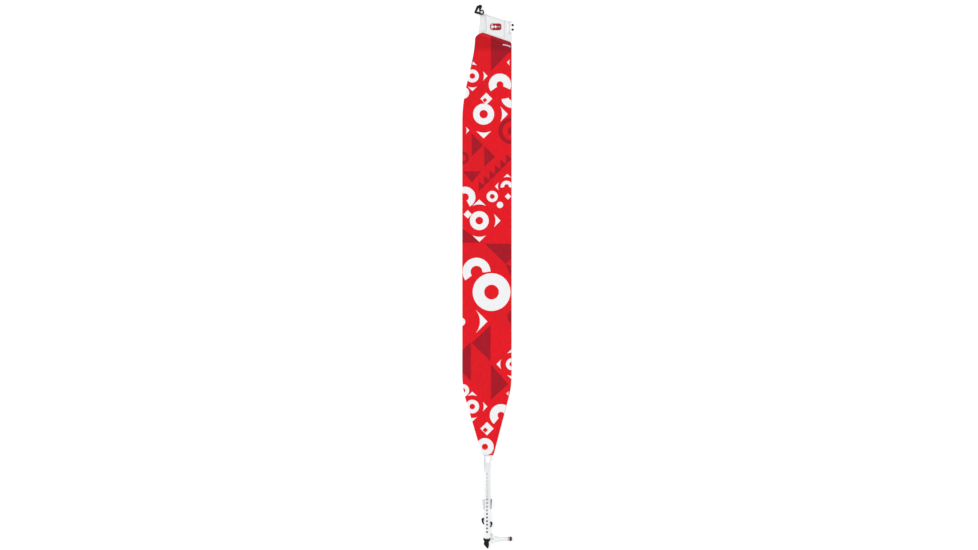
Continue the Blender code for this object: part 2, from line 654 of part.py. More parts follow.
def make_clip_plate(grey):
    """The plate under the strap, with the hook's knuckle and the arm's lug."""
    left = STRAP_X - CLIP_PLATE_HALF
    right = STRAP_X + CLIP_PLATE_HALF
    head_y = GUIDE_Y[0] - CLIP_PLATE_INSET
    outline = [
        (left, head_y, 2.0),
        (left, KNUCKLE_ROOT_Y, 0.5),
        (KNUCKLE_X[0], KNUCKLE_ROOT_Y, 0.0),
        (KNUCKLE_X[0], KNUCKLE_Y, 0.0),
        (KNUCKLE_X[1], KNUCKLE_Y, 0.0),
        (KNUCKLE_X[1], KNUCKLE_ROOT_Y, 0.0),
        (LUG_PLATE_X[0], KNUCKLE_ROOT_Y, 0.0),
        (LUG_PLATE_X[0], LUG_PLATE_Y[1], 1.0),
        (LUG_PLATE_X[1], LUG_PLATE_Y[1] + CLIP_PLATE_INSET, 2.0),
        (LUG_PLATE_X[1], LUG_PLATE_Y[0] - CLIP_PLATE_INSET, 2.0),
        (right, LUG_PLATE_Y[0] + CLIP_PLATE_INSET, 0.5),
        (right, head_y, 2.0),
    ]
    plate = prism("clip_plate", rounded(outline, COARSE_ARC), CLIP_PLATE_Z[0], CLIP_PLATE_Z[1], grey)
    soften(plate, 0.6 * EDGE_SOFTENING, 1, 50.0)
    axis = [(x, KNUCKLE_Y, KNUCKLE_Z) for x in KNUCKLE_X]
    join(plate, bar_along("knuckle_helper", axis[0], axis[1], KNUCKLE_RADIUS, steps=ROUND_STEPS))
    cut(plate, cross_bore("knuckle_bore_helper", KNUCKLE_X))
    cut(plate, upright_bore("edge_seat_helper", EDGE_PIVOT, EDGE_BORE_RADIUS, CLIP_PLATE_Z))


def cross_bore(name, span):
    """A cutter along the tail hook's axis that runs past both ends of the span."""
    start = (span[0] - BORE_OVERRUN, KNUCKLE_Y, KNUCKLE_Z)
    end = (span[1] + BORE_OVERRUN, KNUCKLE_Y, KNUCKLE_Z)
    return bar_along(name, start, end, KNUCKLE_BORE_RADIUS)


def strap_channel(name, y_span):
    """The cutter that leaves room for the sliding strap."""
    half = STRAP_HALF_WIDTH + SLIDE_CLEARANCE
    slot_top = STRAP_HIGH_Z + STRAP_THICKNESS + SLOT_HEADROOM
    return box(name, (STRAP_X - half, STRAP_X + half), y_span, (CLIP_TOP_Z, slot_top))


def make_guide(grey):
    """The flared guide: a floor under the strap and two tapering cheeks with short lips."""
    top = GUIDE_Y[0]
    foot = GUIDE_Y[1]
    outer = [
        (STRAP_X - GUIDE_TOP_HALF, top, 2.5),
        (STRAP_X - GUIDE_FOOT_HALF, foot, 1.0),
        (STRAP_X + GUIDE_FOOT_HALF, foot, 1.0),
        (STRAP_X + GUIDE_TOP_HALF, top, 2.5),
    ]
    guide = prism("strap_guide", rounded(outer, COARSE_ARC), CLIP_DECK_Z, LIP_TOP_Z, grey)
    soften(guide, 2.0 * EDGE_SOFTENING, 3, 50.0)
    run = (foot - BORE_OVERRUN, top + BORE_OVERRUN)
    cut(guide, strap_channel("guide_slot_helper", run))
    mouth = STRAP_HALF_WIDTH - GUIDE_LIP
    opening = (STRAP_X - mouth, STRAP_X + mouth)
    cut(guide, box("guide_mouth_helper", opening, run, (CLIP_TOP_Z, LIP_TOP_Z + BORE_OVERRUN)))


def lug_outline(side, lug_y):
    """A bean-shaped lug beside the strap, reaching over its margin."""
    high, low = lug_y
    return rounded(
        [
            (STRAP_X + side * LUG_OUTER, high - 5.0, 3.5),
            (STRAP_X + side * (LUG_OUTER - 1.6), low + 7.0, 4.0),
            (STRAP_X + side * (LUG_INNER + 3.4), low, 1.6),
            (STRAP_X + side * LUG_INNER, low + 1.6, 1.2),
            (STRAP_X + side * (LUG_INNER + 2.6), high - 9.5, 4.0),
            (STRAP_X + side * LUG_INNER, high - 2.4, 1.2),
            (STRAP_X + side * (LUG_INNER + 4.0), high, 2.4),
        ],
        COARSE_ARC,
    )


def make_clip_body(black):
    """The black block under the strap with two staggered lugs."""
    outline = [
        (STRAP_X - BODY_HALF, BODY_Y[0], 2.0),
        (STRAP_X - BODY_HALF, BODY_Y[1], 2.0),
        (STRAP_X + BODY_HALF, BODY_Y[1], 2.0),
        (STRAP_X + BODY_HALF, BODY_Y[0], 2.0),
    ]
    body = prism("clip_body", rounded(outline, COARSE_ARC), CLIP_DECK_Z, CLIP_TOP_Z, black)
    for side, lug_y in ((-1.0, LEFT_LUG_Y), (1.0, RIGHT_LUG_Y)):
        lug = prism("lug_helper_%d" % side, lug_outline(side, lug_y), CLIP_DECK_Z, LIP_TOP_Z)
        soften(lug, 2.2 * EDGE_SOFTENING, 3, 60.0)
        join(body, lug)
    run = (BODY_Y[1] - BORE_OVERRUN, BODY_Y[0] + BORE_OVERRUN)
    cut(body, strap_channel("body_slot_helper", run))


def make_tail_hook(black, steel):
    """The hook over the tail of the board, on its pin."""
    left, right = TAIL_HOOK_X
    low, high = TAIL_HOOK_TOP_Z
    plate = [(left, TAIL_HOOK_ROOT_Y, 1.0), (left, TAIL_HOOK_SHOULDER_Y, 1.6), (*TAIL_NECK[0], 1.0)]
    plate += [(x, y, 1.2) for x, y in TAIL_LIP]
    plate += [(*TAIL_NECK[1], 1.0), (right, TAIL_HOOK_SHOULDER_Y, 1.6), (right, TAIL_HOOK_ROOT_Y, 1.0)]
    hook = prism("tail_hook", rounded(plate, COARSE_ARC), low, high, black)
    soften(hook, EDGE_SOFTENING, 2, 60.0)
    ears = ((left, KNUCKLE_X[0] - GAP), (KNUCKLE_X[1] + GAP, right))
    bridge = [(KNUCKLE_Y + y, z) for y, z in TAIL_BRIDGE]
    for index, (start, end) in enumerate(ears):
        ear = circle((KNUCKLE_Y, KNUCKLE_Z), KNUCKLE_RADIUS)
        join(hook, side_prism("hook_ear_helper_%d" % index, ear, start, end))
        join(hook, side_prism("hook_bridge_helper_%d" % index, bridge, start, end))
    join(hook, prism("hook_wall_helper", TAIL_WALL, TAIL_JAW_Z[0], low + GAP))
    join(hook, prism("hook_jaw_helper", TAIL_JAW, TAIL_JAW_Z[0], TAIL_JAW_Z[1]))
    cut(hook, cross_bore("hook_pin_bore_helper", TAIL_HOOK_X))
    ends = [(x, KNUCKLE_Y, KNUCKLE_Z) for x in TAIL_HOOK_X]
    bar_along("tail_hook_pin", ends[0], ends[1], KNUCKLE_PIN_RADIUS, steel)


def make_edge_arm(pale, steel):
    """The tapering arm with a rail along each side, and its rivet."""
    low, high = EDGE_ARM_Z
    outline = [*EDGE_ARM_ROOT, *EDGE_ARM_FOOT, *EDGE_ARM_HEAD]
    arm = prism("edge_arm", rounded(outline, COARSE_ARC), low, high, pale)
    soften(arm, EDGE_SOFTENING, 2, 60.0)
    for index, rail in enumerate((UPPER_RAIL, LOWER_RAIL)):
        rib = prism("rail_helper_%d" % index, rail, low + GAP, high + RAIL_RISE)
        join(arm, soften(rib, EDGE_SOFTENING, 2, 60.0))
    join(arm, box("tang_helper", TANG_X, TANG_Y, TANG_Z))
    cut(arm, upright_bore("edge_bore_helper", EDGE_PIVOT, EDGE_BORE_RADIUS, EDGE_ARM_Z))
    span = (CLIP_PLATE_Z[0] - GAP, high + GAP)
    rivet("edge_arm_rivet", EDGE_PIVOT, span, EDGE_RIVET_RADIUS, EDGE_RIVET_HEAD, EDGE_RIVET_HEAD, steel)


def make_edge_pad(rubber):
    """The block at the arm's end, with a groove for the board's edge."""
    left, right = EDGE_PAD_X
    near, far = EDGE_PAD_Y
    outline = [(left, far, 1.5), (right, far, 3.0), (right, near, 3.0), (left, near, 1.5)]
    pad = prism("edge_pad", rounded(outline, COARSE_ARC), EDGE_PAD_Z[0], EDGE_PAD_Z[1], rubber)
    soften(pad, 2.0 * EDGE_SOFTENING, 2, 50.0)
    pocket = [(span[0] - GAP, span[1] + GAP) for span in (TANG_X, TANG_Y, TANG_Z)]
    cut(pad, box("pocket_helper", *pocket))
    run = (near - BORE_OVERRUN, far + BORE_OVERRUN)
    cut(pad, box("groove_helper", EDGE_GROOVE_X, run, (EDGE_PAD_Z[0] - BORE_OVERRUN, EDGE_GROOVE_TOP)))


def main():
    """Builds every piece of the skin."""
    clear_scene()
    red = material("plush_red", (0.78, 0.02, 0.03), 0.85)
    film = material("film_grey", (0.35, 0.36, 0.38), 0.5)
    glue = material("glue_dark", (0.06, 0.06, 0.07), 0.35)
    pale = material("pale_plastic", (0.83, 0.84, 0.85), 0.4)
    mark = material("badge_red", (0.35, 0.02, 0.04), 0.5)
    steel = material("steel", (0.5, 0.5, 0.52), 0.3, 1.0)
    black = material("black_plastic", (0.015, 0.015, 0.016), 0.45)
    white = material("white_strap", (0.86, 0.87, 0.88), 0.35)
    grey = material("grey_plastic", (0.32, 0.33, 0.34), 0.45)
    rubber = material("dark_rubber", (0.05, 0.01, 0.012), 0.6)
    make_laminate(red, film, glue)
    make_tip_plate(pale)
    make_cover(pale, mark, steel)
    make_left_arm(pale, black, steel)
    make_right_hook(pale, steel)
    make_hook_balls(black)
    make_strap(white)
    make_clip_plate(grey)
    make_guide(grey)
    make_clip_body(black)
    make_tail_hook(black, steel)
    make_edge_arm(pale, steel)
    make_edge_pad(rubber)


main()
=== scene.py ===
"""A splitboard climbing skin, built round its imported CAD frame."""

import math

import bmesh
import bpy
import numpy as np
from mathutils import Matrix, Vector
from mathutils.bvhtree import BVHTree
from mathutils.geometry import delaunay_2d_cdt


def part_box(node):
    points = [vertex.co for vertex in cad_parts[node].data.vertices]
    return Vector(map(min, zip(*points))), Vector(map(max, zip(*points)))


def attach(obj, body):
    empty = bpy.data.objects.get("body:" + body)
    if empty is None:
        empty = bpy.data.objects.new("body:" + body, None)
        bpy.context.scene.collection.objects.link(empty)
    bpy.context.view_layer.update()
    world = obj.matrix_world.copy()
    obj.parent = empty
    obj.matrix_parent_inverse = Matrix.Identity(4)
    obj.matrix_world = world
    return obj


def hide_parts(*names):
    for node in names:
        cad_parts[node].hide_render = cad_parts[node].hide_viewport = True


MM = 0.001

# The camera looks straight down, with the skin's tip at the top of the picture.
PICTURE_WIDTH = 2.794
CAMERA_LENS = 100.0
SENSOR_WIDTH = 36.0
CAMERA_AIM = (0.0027, 0.0047)

# The plush.
GRID_STEP = 7.0 * MM
EDGE_RINGS = ((0.9 * MM, 0.25 * MM), (2.4 * MM, 0.0))
EDGE_DROP = 0.7 * MM
RIPPLE = 0.16 * MM
BORDER_WIDTH = 2.6 * MM
DARK_EDGE_WIDTH = 2.2 * MM
DARK_EDGE_FOOT = 604.0 * MM
TOP_LINE = 691.9 * MM
TOP_SLOPE = -0.34
TONGUE_LENGTH = 26.0 * MM
TONGUE_STEP = 2.0 * MM
DEEP_BAND_Y = (639.0 * MM, 657.0 * MM)
DEEP_BAND_DROP = (8.0 * MM, 11.0 * MM)
DEEP_BAND_DEPTH = 0.5
TONGUE_RISE = 0.35 * MM

# Seams: distances from the tip's slanted edge and from the foot of the plush, and a stitch's size.
TIP_SEAM_DROPS = (5.2 * MM, 20.0 * MM)
TIP_SEAM_MARGINS = (9.0 * MM, 8.0 * MM)
TAIL_SEAM_RISES = (5.0 * MM, 17.0 * MM)
TAIL_SEAM_ENDS = (-15.0 * MM, 13.5 * MM)
TAIL_SEAM_FLARE = (-0.25, 0.22)
STITCH_PITCH = 4.4 * MM
STITCH_LENGTH = 3.3 * MM
STITCH_RADIUS = 0.45 * MM
STITCH_FLATNESS = 0.7

# The strap. Its holes are counted from the yoke, and its rims take their height at each place in y.
HOLE_COUNT = 17
HOLE_PITCH = 10.3 * MM
HOLE_FIRST_Y = -563.6 * MM
EYELET_RADIUS = 2.6 * MM
STRAP_X = -3.0 * MM
STRAP_RIM_X = 9.3 * MM
STRAP_END_Y = -743.6 * MM
# Across the strap its painted shade starts right of the margin; along it, that painted shade fades towards
# the clip, and the margin greys at the yoke.
STRAP_MARGIN_X = (-7.5 * MM, -4.5 * MM)
STRAP_SHADE_FADE_Y = (-665.0 * MM, -640.0 * MM)
YOKE_TONE_Y = (-562.0 * MM, -540.0 * MM)
YOKE_RIM_X = (-10.9 * MM, 12.3 * MM)
YOKE_RIM_INSET = 1.2 * MM
YOKE_TOP_Y = -511.6 * MM
YOKE_FOOT_Y = -533.0 * MM
RIM_PLACES_Y = [y * MM for y in range(-545, -596, -5)]

# Mouldings.
ARM_ROOT = (-14.2 * MM, 709.0 * MM)
ARM_END = (-18.1 * MM, 754.2 * MM)
ARM_RIBS = 6
ARM_RIB_START = 15.0 * MM
ARM_RIB_PITCH = 3.2 * MM
ARM_RIB_HALF = 5.6 * MM
ARM_RIB_TAPER = 0.25 * MM
HOOK_RIBS = 4
HOOK_RIB_X = (-9.0 * MM, 0.4 * MM)
HOOK_RIB_Y = -757.5 * MM
HOOK_RIB_PITCH = 2.9 * MM
HOOK_RIB_LEAN = 0.8 * MM
TAIL_HOOK_TOP = 8.9 * MM
PAD_RIBS = 4
PAD_RIB_START = 3.0 * MM
PAD_RIB_PITCH = 2.6 * MM
PAD_RIB_MARGINS = (6.6 * MM, 1.8 * MM)
BORDER_INSET = 2.4 * MM
INLAY_SINK = 0.1 * MM
INLAY_RISE = 0.15 * MM

# Width and height of each kind of rail.
STRAP_RIM_SIZE = (1.5 * MM, 0.5 * MM)
EYELET_SIZE = (1.2 * MM, 0.3 * MM)
BORDER_SIZE = (0.9 * MM, 0.3 * MM)
ARM_RIB_SIZE = (1.1 * MM, 0.2 * MM)
HOOK_RIB_SIZE = (1.2 * MM, 0.26 * MM)
PAD_RIB_SIZE = (1.1 * MM, 0.35 * MM)

# The studio.
WORLD_STRENGTH = 0.7
FLOOR_HALF = 6.0
FLOOR_DROP = 0.4 * MM
FLOOR_GLOW = 0.68
KEY_ENERGY = 1.5
KEY_ANGLE = 28.0
KEY_HEADING = (0.8, -0.5, -1.0)

# Working steps: degrees along an arc, and distances small enough to count as none.
ARC_STEP = 9.0
TOLERANCE = 0.01 * MM
MERGE_DISTANCE = 0.001 * MM

ACROSS = (1.0, 0.0, 0.0)
LENGTHWISE = (0.0, 1.0, 0.0)
UPWARD = (0.0, 0.0, 1.0)

RED = "red"
SHADE = "shade"
DARK = "dark"
WHITE = "white"
CUT = "cut"
PLUSH_SLOTS = (RED, SHADE, DARK, WHITE, CUT)


def srgb(red, green, blue):
    """A linear colour from an 8-bit one."""
    return tuple((value / 255.0) ** 2.2 for value in (red, green, blue))


# ---------------------------------------------------------------- materials


class Nodes:
    """A material under construction."""

    def __init__(self, name):
        self.material = bpy.data.materials.new(name)
        self.material.use_nodes = True
        self.tree = self.material.node_tree
        self.surface = self.tree.nodes["Principled BSDF"]
        self.place = self.add("ShaderNodeTexCoord").outputs["Object"]

    def add(self, kind, **settings):
        node = self.tree.nodes.new(kind)
        for key, value in settings.items():
            setattr(node, key, value)
        return node

    def link(self, output, socket):
        self.tree.links.new(output, socket)

    def noise(self, scale, detail=3.0, stretch=(1.0, 1.0, 1.0), roughness=0.5):
        """Noise over the object's own coordinates, in metres."""
        mapping = self.add("ShaderNodeMapping")
        mapping.inputs["Scale"].default_value = stretch
        self.link(self.place, mapping.inputs["Vector"])
        node = self.add("ShaderNodeTexNoise")
        node.inputs["Scale"].default_value = scale
        node.inputs["Detail"].default_value = detail
        node.inputs["Roughness"].default_value = roughness
        self.link(mapping.outputs["Vector"], node.inputs["Vector"])
        return node.outputs["Fac"]

    def ramp(self, value, stops):
        """A colour ramp of (position, colour) stops."""
        node = self.add("ShaderNodeValToRGB")
        while len(node.color_ramp.elements) < len(stops):
            node.color_ramp.elements.new(0.5)
        for element, (position, color) in zip(node.color_ramp.elements, stops):
            element.position = position
            element.color = (*color, 1.0)
        self.link(value, node.inputs["Fac"])
        return node.outputs["Color"]

    def span(self, value, low, high, start=0.0, end=1.0):
        """The value mapped from one range to another."""
        node = self.add("ShaderNodeMapRange")
        node.inputs["From Min"].default_value = start
        node.inputs["From Max"].default_value = end
        node.inputs["To Min"].default_value = low
        node.inputs["To Max"].default_value = high
        self.link(value, node.inputs["Value"])
        return node.outputs["Result"]

    def bump(self, height, strength, distance):
        """Adds relief; further calls stack on the first."""
        node = self.add("ShaderNodeBump")
        node.inputs["Strength"].default_value = strength
        node.inputs["Distance"].default_value = distance
        self.link(height, node.inputs["Height"])
        socket = self.surface.inputs["Normal"]
        if socket.is_linked:
            self.link(socket.links[0].from_socket, node.inputs["Normal"])
        self.link(node.outputs["Normal"], socket)

    def mix(self, amount, first, second):
        """A colour between two, by an amount socket."""
        node = self.add("ShaderNodeMix", data_type="RGBA")
        self.link(amount, node.inputs["Factor"])
        for socket, value in ((node.inputs["A"], first), (node.inputs["B"], second)):
            if isinstance(value, tuple):
                socket.default_value = (*value, 1.0)
            else:
                self.link(value, socket)
        return node.outputs["Result"]

    def along(self, axis, start, end):
        """How far a point lies along an axis, from 0 to 1 between two distances."""
        dot = self.add("ShaderNodeVectorMath", operation="DOT_PRODUCT")
        self.link(self.place, dot.inputs[0])
        dot.inputs[1].default_value = axis
        return self.span(dot.outputs["Value"], 0.0, 1.0, start, end)

    def deep_band(self):
        """The deeper tone across the tip, which starts a little below the slanted edge."""
        low = self.along(LENGTHWISE, *DEEP_BAND_Y)
        drops = [TOP_LINE - drop for drop in DEEP_BAND_DROP]
        high = self.along((-TOP_SLOPE, 1.0, 0.0), drops[0], drops[1])
        both = self.add("ShaderNodeMath", operation="MULTIPLY")
        self.link(low, both.inputs[0])
        self.link(high, both.inputs[1])
        scaled = self.add("ShaderNodeMath", operation="MULTIPLY")
        self.link(both.outputs[0], scaled.inputs[0])
        scaled.inputs[1].default_value = DEEP_BAND_DEPTH
        return scaled.outputs[0]

    def color(self, value):
        self.link(value, self.surface.inputs["Base Color"])

    def rough(self, value):
        self.link(value, self.surface.inputs["Roughness"])

    def set(self, **values):
        """Constants on the shader's own sockets, with _ for spaces."""
        for key, value in values.items():
            self.surface.inputs[key.replace("_", " ")].default_value = value

    def satin(self, coat):
        """The half gloss and fine grain of a plain moulding."""
        self.rough(self.span(self.noise(120.0, 3.0), 0.3, 0.46))
        self.bump(self.noise(1400.0, 2.0), 0.22, 0.08 * MM)
        self.set(Specular_IOR_Level=0.4, Coat_Weight=coat, Coat_Roughness=0.2)
        return self.material

    def glow(self, strength):
        """An even white light of the surface's own."""
        self.set(Emission_Color=(1.0, 1.0, 1.0, 1.0), Emission_Strength=strength)
        return self.material


def shade_of(color, factor):
    """A lighter or darker copy of a linear colour."""
    return tuple(min(1.0, part * factor) for part in color)


def plush_material(name, color, darkest=0.84, lightest=1.1, sheen=0.25):
    """Short nylon pile that lies along the skin."""
    made = Nodes(name)
    streak = made.noise(520.0, 4.0, (1.0, 0.12, 1.0), 0.6)
    cloud = made.noise(9.0, 3.0, (1.0, 0.5, 1.0))
    fine = made.ramp(streak, [(0.3, shade_of(color, darkest)), (0.7, shade_of(color, lightest))])
    worn = made.mix(made.span(cloud, 0.0, 0.28), fine, shade_of(color, 0.86))
    made.color(made.mix(made.deep_band(), worn, shade_of(color, 0.5)))
    made.rough(made.span(streak, 0.95, 0.8))
    made.bump(streak, 0.5, 0.5 * MM)
    made.bump(made.noise(60.0, 2.0, (1.0, 0.4, 1.0)), 0.18, 1.0 * MM)
    made.set(Specular_IOR_Level=0.15, Sheen_Weight=sheen, Sheen_Roughness=0.45)
    made.set(Sheen_Tint=(*shade_of(color, 1.2), 1.0))
    return made.material


def cut_edge_material(name, color):
    """The sealed, slightly melted rim of the fabric."""
    made = Nodes(name)
    grain = made.noise(900.0, 3.0)
    made.color(made.ramp(grain, [(0.35, shade_of(color, 0.7)), (0.65, shade_of(color, 1.15))]))
    made.rough(made.span(grain, 0.75, 0.5))
    made.bump(grain, 0.5, 0.2 * MM)
    made.set(Specular_IOR_Level=0.3)
    return made.material


def plastic_material(name, color, rough, mottle=0.05, painted_glow=0.0):
    """Moulded plastic with a fine grain and faint flow marks; the last argument is a painted glow, an even
    light of its own that lifts its shade and the creases beside it.
    """
    made = Nodes(name)
    flow = made.noise(35.0, 3.0, (1.0, 0.35, 1.0))
    fine = made.noise(1400.0, 2.0)
    tone = made.ramp(flow, [(0.3, shade_of(color, 1.0 - mottle)), (0.7, shade_of(color, 1.0 + mottle))])
    scuff = made.span(made.noise(260.0, 5.0, (0.25, 1.0, 1.0), 0.7), 0.0, 0.7, 0.62, 0.8)
    made.color(made.mix(scuff, tone, shade_of(color, 0.78)))
    made.rough(made.span(made.noise(120.0, 3.0), rough - 0.07, rough + 0.1))
    made.bump(fine, 0.5, 0.12 * MM)
    made.bump(flow, 0.15, 0.4 * MM)
    made.set(Specular_IOR_Level=0.4)
    # Painted glow: light of the plastic's own, which lightens its shaded sides and creases.
    return made.glow(painted_glow)


def graded_plastic(name, first, last, span, coat=0.0, axis=ACROSS):
    """Moulded plastic whose tone changes along an axis, between two places in millimetres."""
    made = Nodes(name)
    flow = made.noise(60.0, 3.0, (1.0, 0.35, 1.0))
    tone = made.ramp(flow, [(0.3, shade_of(first, 0.97)), (0.7, shade_of(first, 1.03))])
    along = made.along(axis, span[0] * MM, span[1] * MM)
    made.color(made.mix(along, tone, last))
    return made.satin(coat)


def strap_material(name, margin, yoke, upper, lower):
    """Soft white rubber with painted shade: greyer right of its light left margin, as if lit from the
    left, and that painted shade fades towards the clip; the margin greys at the yoke.
    """
    made = Nodes(name)
    left = made.mix(made.along(LENGTHWISE, *YOKE_TONE_Y), margin, yoke)
    # Painted shade on the strap's middle, lighter towards the clip.
    right = made.mix(made.along(LENGTHWISE, *STRAP_SHADE_FADE_Y), lower, upper)
    # Painted shade: greyer right of the margin, as if lit from the left.
    both = made.mix(made.along(ACROSS, *STRAP_MARGIN_X), left, right)
    flow = made.noise(60.0, 3.0, (1.0, 0.35, 1.0))
    made.color(made.mix(made.span(flow, 0.0, 0.3, 0.45, 0.9), both, shade_of(upper, 0.8)))
    return made.satin(0.3)


def rubber_material(name, color, rough=0.55):
    """Soft moulded rubber with dusty high spots."""
    made = Nodes(name)
    dust = made.noise(220.0, 4.0)
    made.color(made.ramp(dust, [(0.4, color), (0.8, shade_of(color, 1.8))]))
    made.rough(made.span(dust, rough - 0.1, rough + 0.2))
    made.bump(made.noise(1800.0, 2.0), 0.3, 0.07 * MM)
    made.set(Specular_IOR_Level=0.25)
    return made.material


def steel_material(name, color, stretch):
    """Metal brushed along one direction."""
    made = Nodes(name)
    brushed = made.noise(900.0, 3.0, stretch)
    made.color(made.ramp(brushed, [(0.3, shade_of(color, 0.8)), (0.7, shade_of(color, 1.15))]))
    made.rough(made.span(brushed, 0.24, 0.42))
    made.bump(brushed, 0.25, 0.04 * MM)
    made.set(Metallic=1.0)
    return made.material


def glue_material(name, color):
    """Tacky adhesive with a fine crossed texture and cloudy gloss."""
    made = Nodes(name)
    across = made.noise(420.0, 2.0, (1.0, 0.15, 1.0))
    along = made.noise(420.0, 2.0, (0.15, 1.0, 1.0))
    cloud = made.noise(16.0, 4.0)
    made.color(made.ramp(cloud, [(0.3, shade_of(color, 0.75)), (0.7, shade_of(color, 1.3))]))
    made.rough(made.span(cloud, 0.22, 0.5))
    made.bump(across, 0.35, 0.15 * MM)
    made.bump(along, 0.35, 0.15 * MM)
    made.set(Coat_Weight=0.3, Coat_Roughness=0.25)
    return made.material


def thread_material(name, color):
    """Twisted polyester thread."""
    made = Nodes(name)
    wave = made.add("ShaderNodeTexWave", bands_direction="DIAGONAL")
    wave.inputs["Scale"].default_value = 700.0
    wave.inputs["Distortion"].default_value = 1.5
    made.link(made.place, wave.inputs["Vector"])
    made.color(made.ramp(wave.outputs["Fac"], [(0.2, shade_of(color, 0.6)), (0.8, shade_of(color, 1.25))]))
    made.bump(wave.outputs["Fac"], 0.5, 0.1 * MM)
    made.set(Roughness=0.6, Sheen_Weight=0.3)
    return made.material


def floor_material():
    """A pale studio table with an even light of its own."""
    made = Nodes("studio_table")
    grain = made.noise(40.0, 3.0)
    made.color(made.ramp(grain, [(0.3, (0.44, 0.44, 0.44)), (0.7, (0.46, 0.46, 0.46))]))
    made.set(Roughness=0.95, Specular_IOR_Level=0.0)
    return made.glow(FLOOR_GLOW)


# ------------------------------------------------------------------ helpers


def mesh_object(name, bm, *materials):
    """An object from a bmesh in metres."""
    mesh = bpy.data.meshes.new(name)
    bm.to_mesh(mesh)
    bm.free()
    made = bpy.data.objects.new(name, mesh)
    for material in materials:
        mesh.materials.append(material)
    bpy.context.scene.collection.objects.link(made)
    return made


def smooth(item, angle):
    """Smooth shading, with edges sharper than an angle in degrees kept."""
    item.data.shade_smooth()
    item.data.set_sharp_from_angle(angle=math.radians(angle))
    return item


def upright(name, outline, low, high, *materials):
    """A prism of one outline between two heights."""
    bm = bmesh.new()
    face = bm.faces.new([bm.verts.new((x, y, low)) for x, y in outline])
    raised = bmesh.ops.extrude_face_region(bm, geom=[face])["geom"]
    moved = [part for part in raised if isinstance(part, bmesh.types.BMVert)]
    bmesh.ops.translate(bm, vec=(0.0, 0.0, high - low), verts=moved)
    bmesh.ops.recalc_face_normals(bm, faces=bm.faces)
    return mesh_object(name, bm, *materials)


def arc(centre, radius, start, end, step=ARC_STEP):
    """Points along an arc; angles in degrees."""
    count = max(2, math.ceil(abs(end - start) / step))
    turns = [math.radians(start + (end - start) * index / count) for index in range(count + 1)]
    return [(centre[0] + radius * math.cos(a), centre[1] + radius * math.sin(a)) for a in turns]


def circle(centre, radius, step=ARC_STEP):
    """A closed outline of a circle."""
    return arc(centre, radius, 0.0, 360.0, step)[:-1]


def inside(outline, points):
    """Which of the points lie inside a closed outline."""
    x, y = points[:, 0], points[:, 1]
    found = np.zeros(len(points), bool)
    for (x0, y0), (x1, y1) in zip(outline, outline[1:] + outline[:1]):
        if y0 == y1:
            continue
        crosses = ((y0 > y) != (y1 > y)) & (x < (x1 - x0) * (y - y0) / (y1 - y0) + x0)
        found ^= crosses
    return found


def top_outline(node):
    """The outline of a flat CAD plate's top face, as a closed loop of (x, y)."""
    mesh = node.data
    top = max(vertex.co.z for vertex in mesh.vertices)
    sides = {}
    for polygon in mesh.polygons:
        corners = [mesh.vertices[index].co for index in polygon.vertices]
        if min(corner.z for corner in corners) < top - TOLERANCE:
            continue
        keys = [(round(corner.x, 6), round(corner.y, 6)) for corner in corners]
        for start, end in zip(keys, keys[1:] + keys[:1]):
            sides[(start, end)] = True
    follow = {start: end for start, end in sides if (end, start) not in sides}
    first = next(iter(follow))
    loop = [first]
    while follow[loop[-1]] != first:
        loop.append(follow[loop[-1]])
    return loop


def moved_in(outline, amount):
    """A loop moved towards its inside; the loop runs anticlockwise."""
    result = []
    count = len(outline)
    for index, point in enumerate(outline):
        before = Vector(outline[index - 1])
        here = Vector(point)
        after = Vector(outline[(index + 1) % count])
        first = (here - before).normalized()
        second = (after - here).normalized()
        normal = Vector((-first.y - second.y, first.x + second.x))
        normal.normalize()
        lean = max(0.5, normal.dot(Vector((-first.y, first.x))))
        result.append(tuple(here + normal * amount / lean))
    return result


# -------------------------------------------------------------------- print


def corner(centre, radius, heading, swell=1.08, spread=24.0):
    """The pointed piece between a square's corner and a circle a little larger than the one in it."""
    turn = math.radians(heading)
    reach = radius * math.sqrt(2.0)
    tip = (centre[0] + reach * math.cos(turn), centre[1] + reach * math.sin(turn))
    return [tip] + arc(centre, radius * swell, heading + spread, heading - spread, 5.0)


def band(centre, outer, inner, start, end):
    """Part of a ring."""
    return arc(centre, outer, start, end) + arc(centre, inner, end, start)


def diamond(centre, half):
    """A square on its corner."""
    x, y = centre
    return [(x - half, y), (x, y - half), (x + half, y), (x, y + half)]


def teeth(start, step, count):
    """A climbing row of upright-backed triangles."""
    corners = [(start[0] + step * index, start[1] + step * index) for index in range(count)]
    return [[(x, y), (x + 1.2 * step, y + 0.95 * step), (x, y + 1.85 * step)] for x, y in corners]


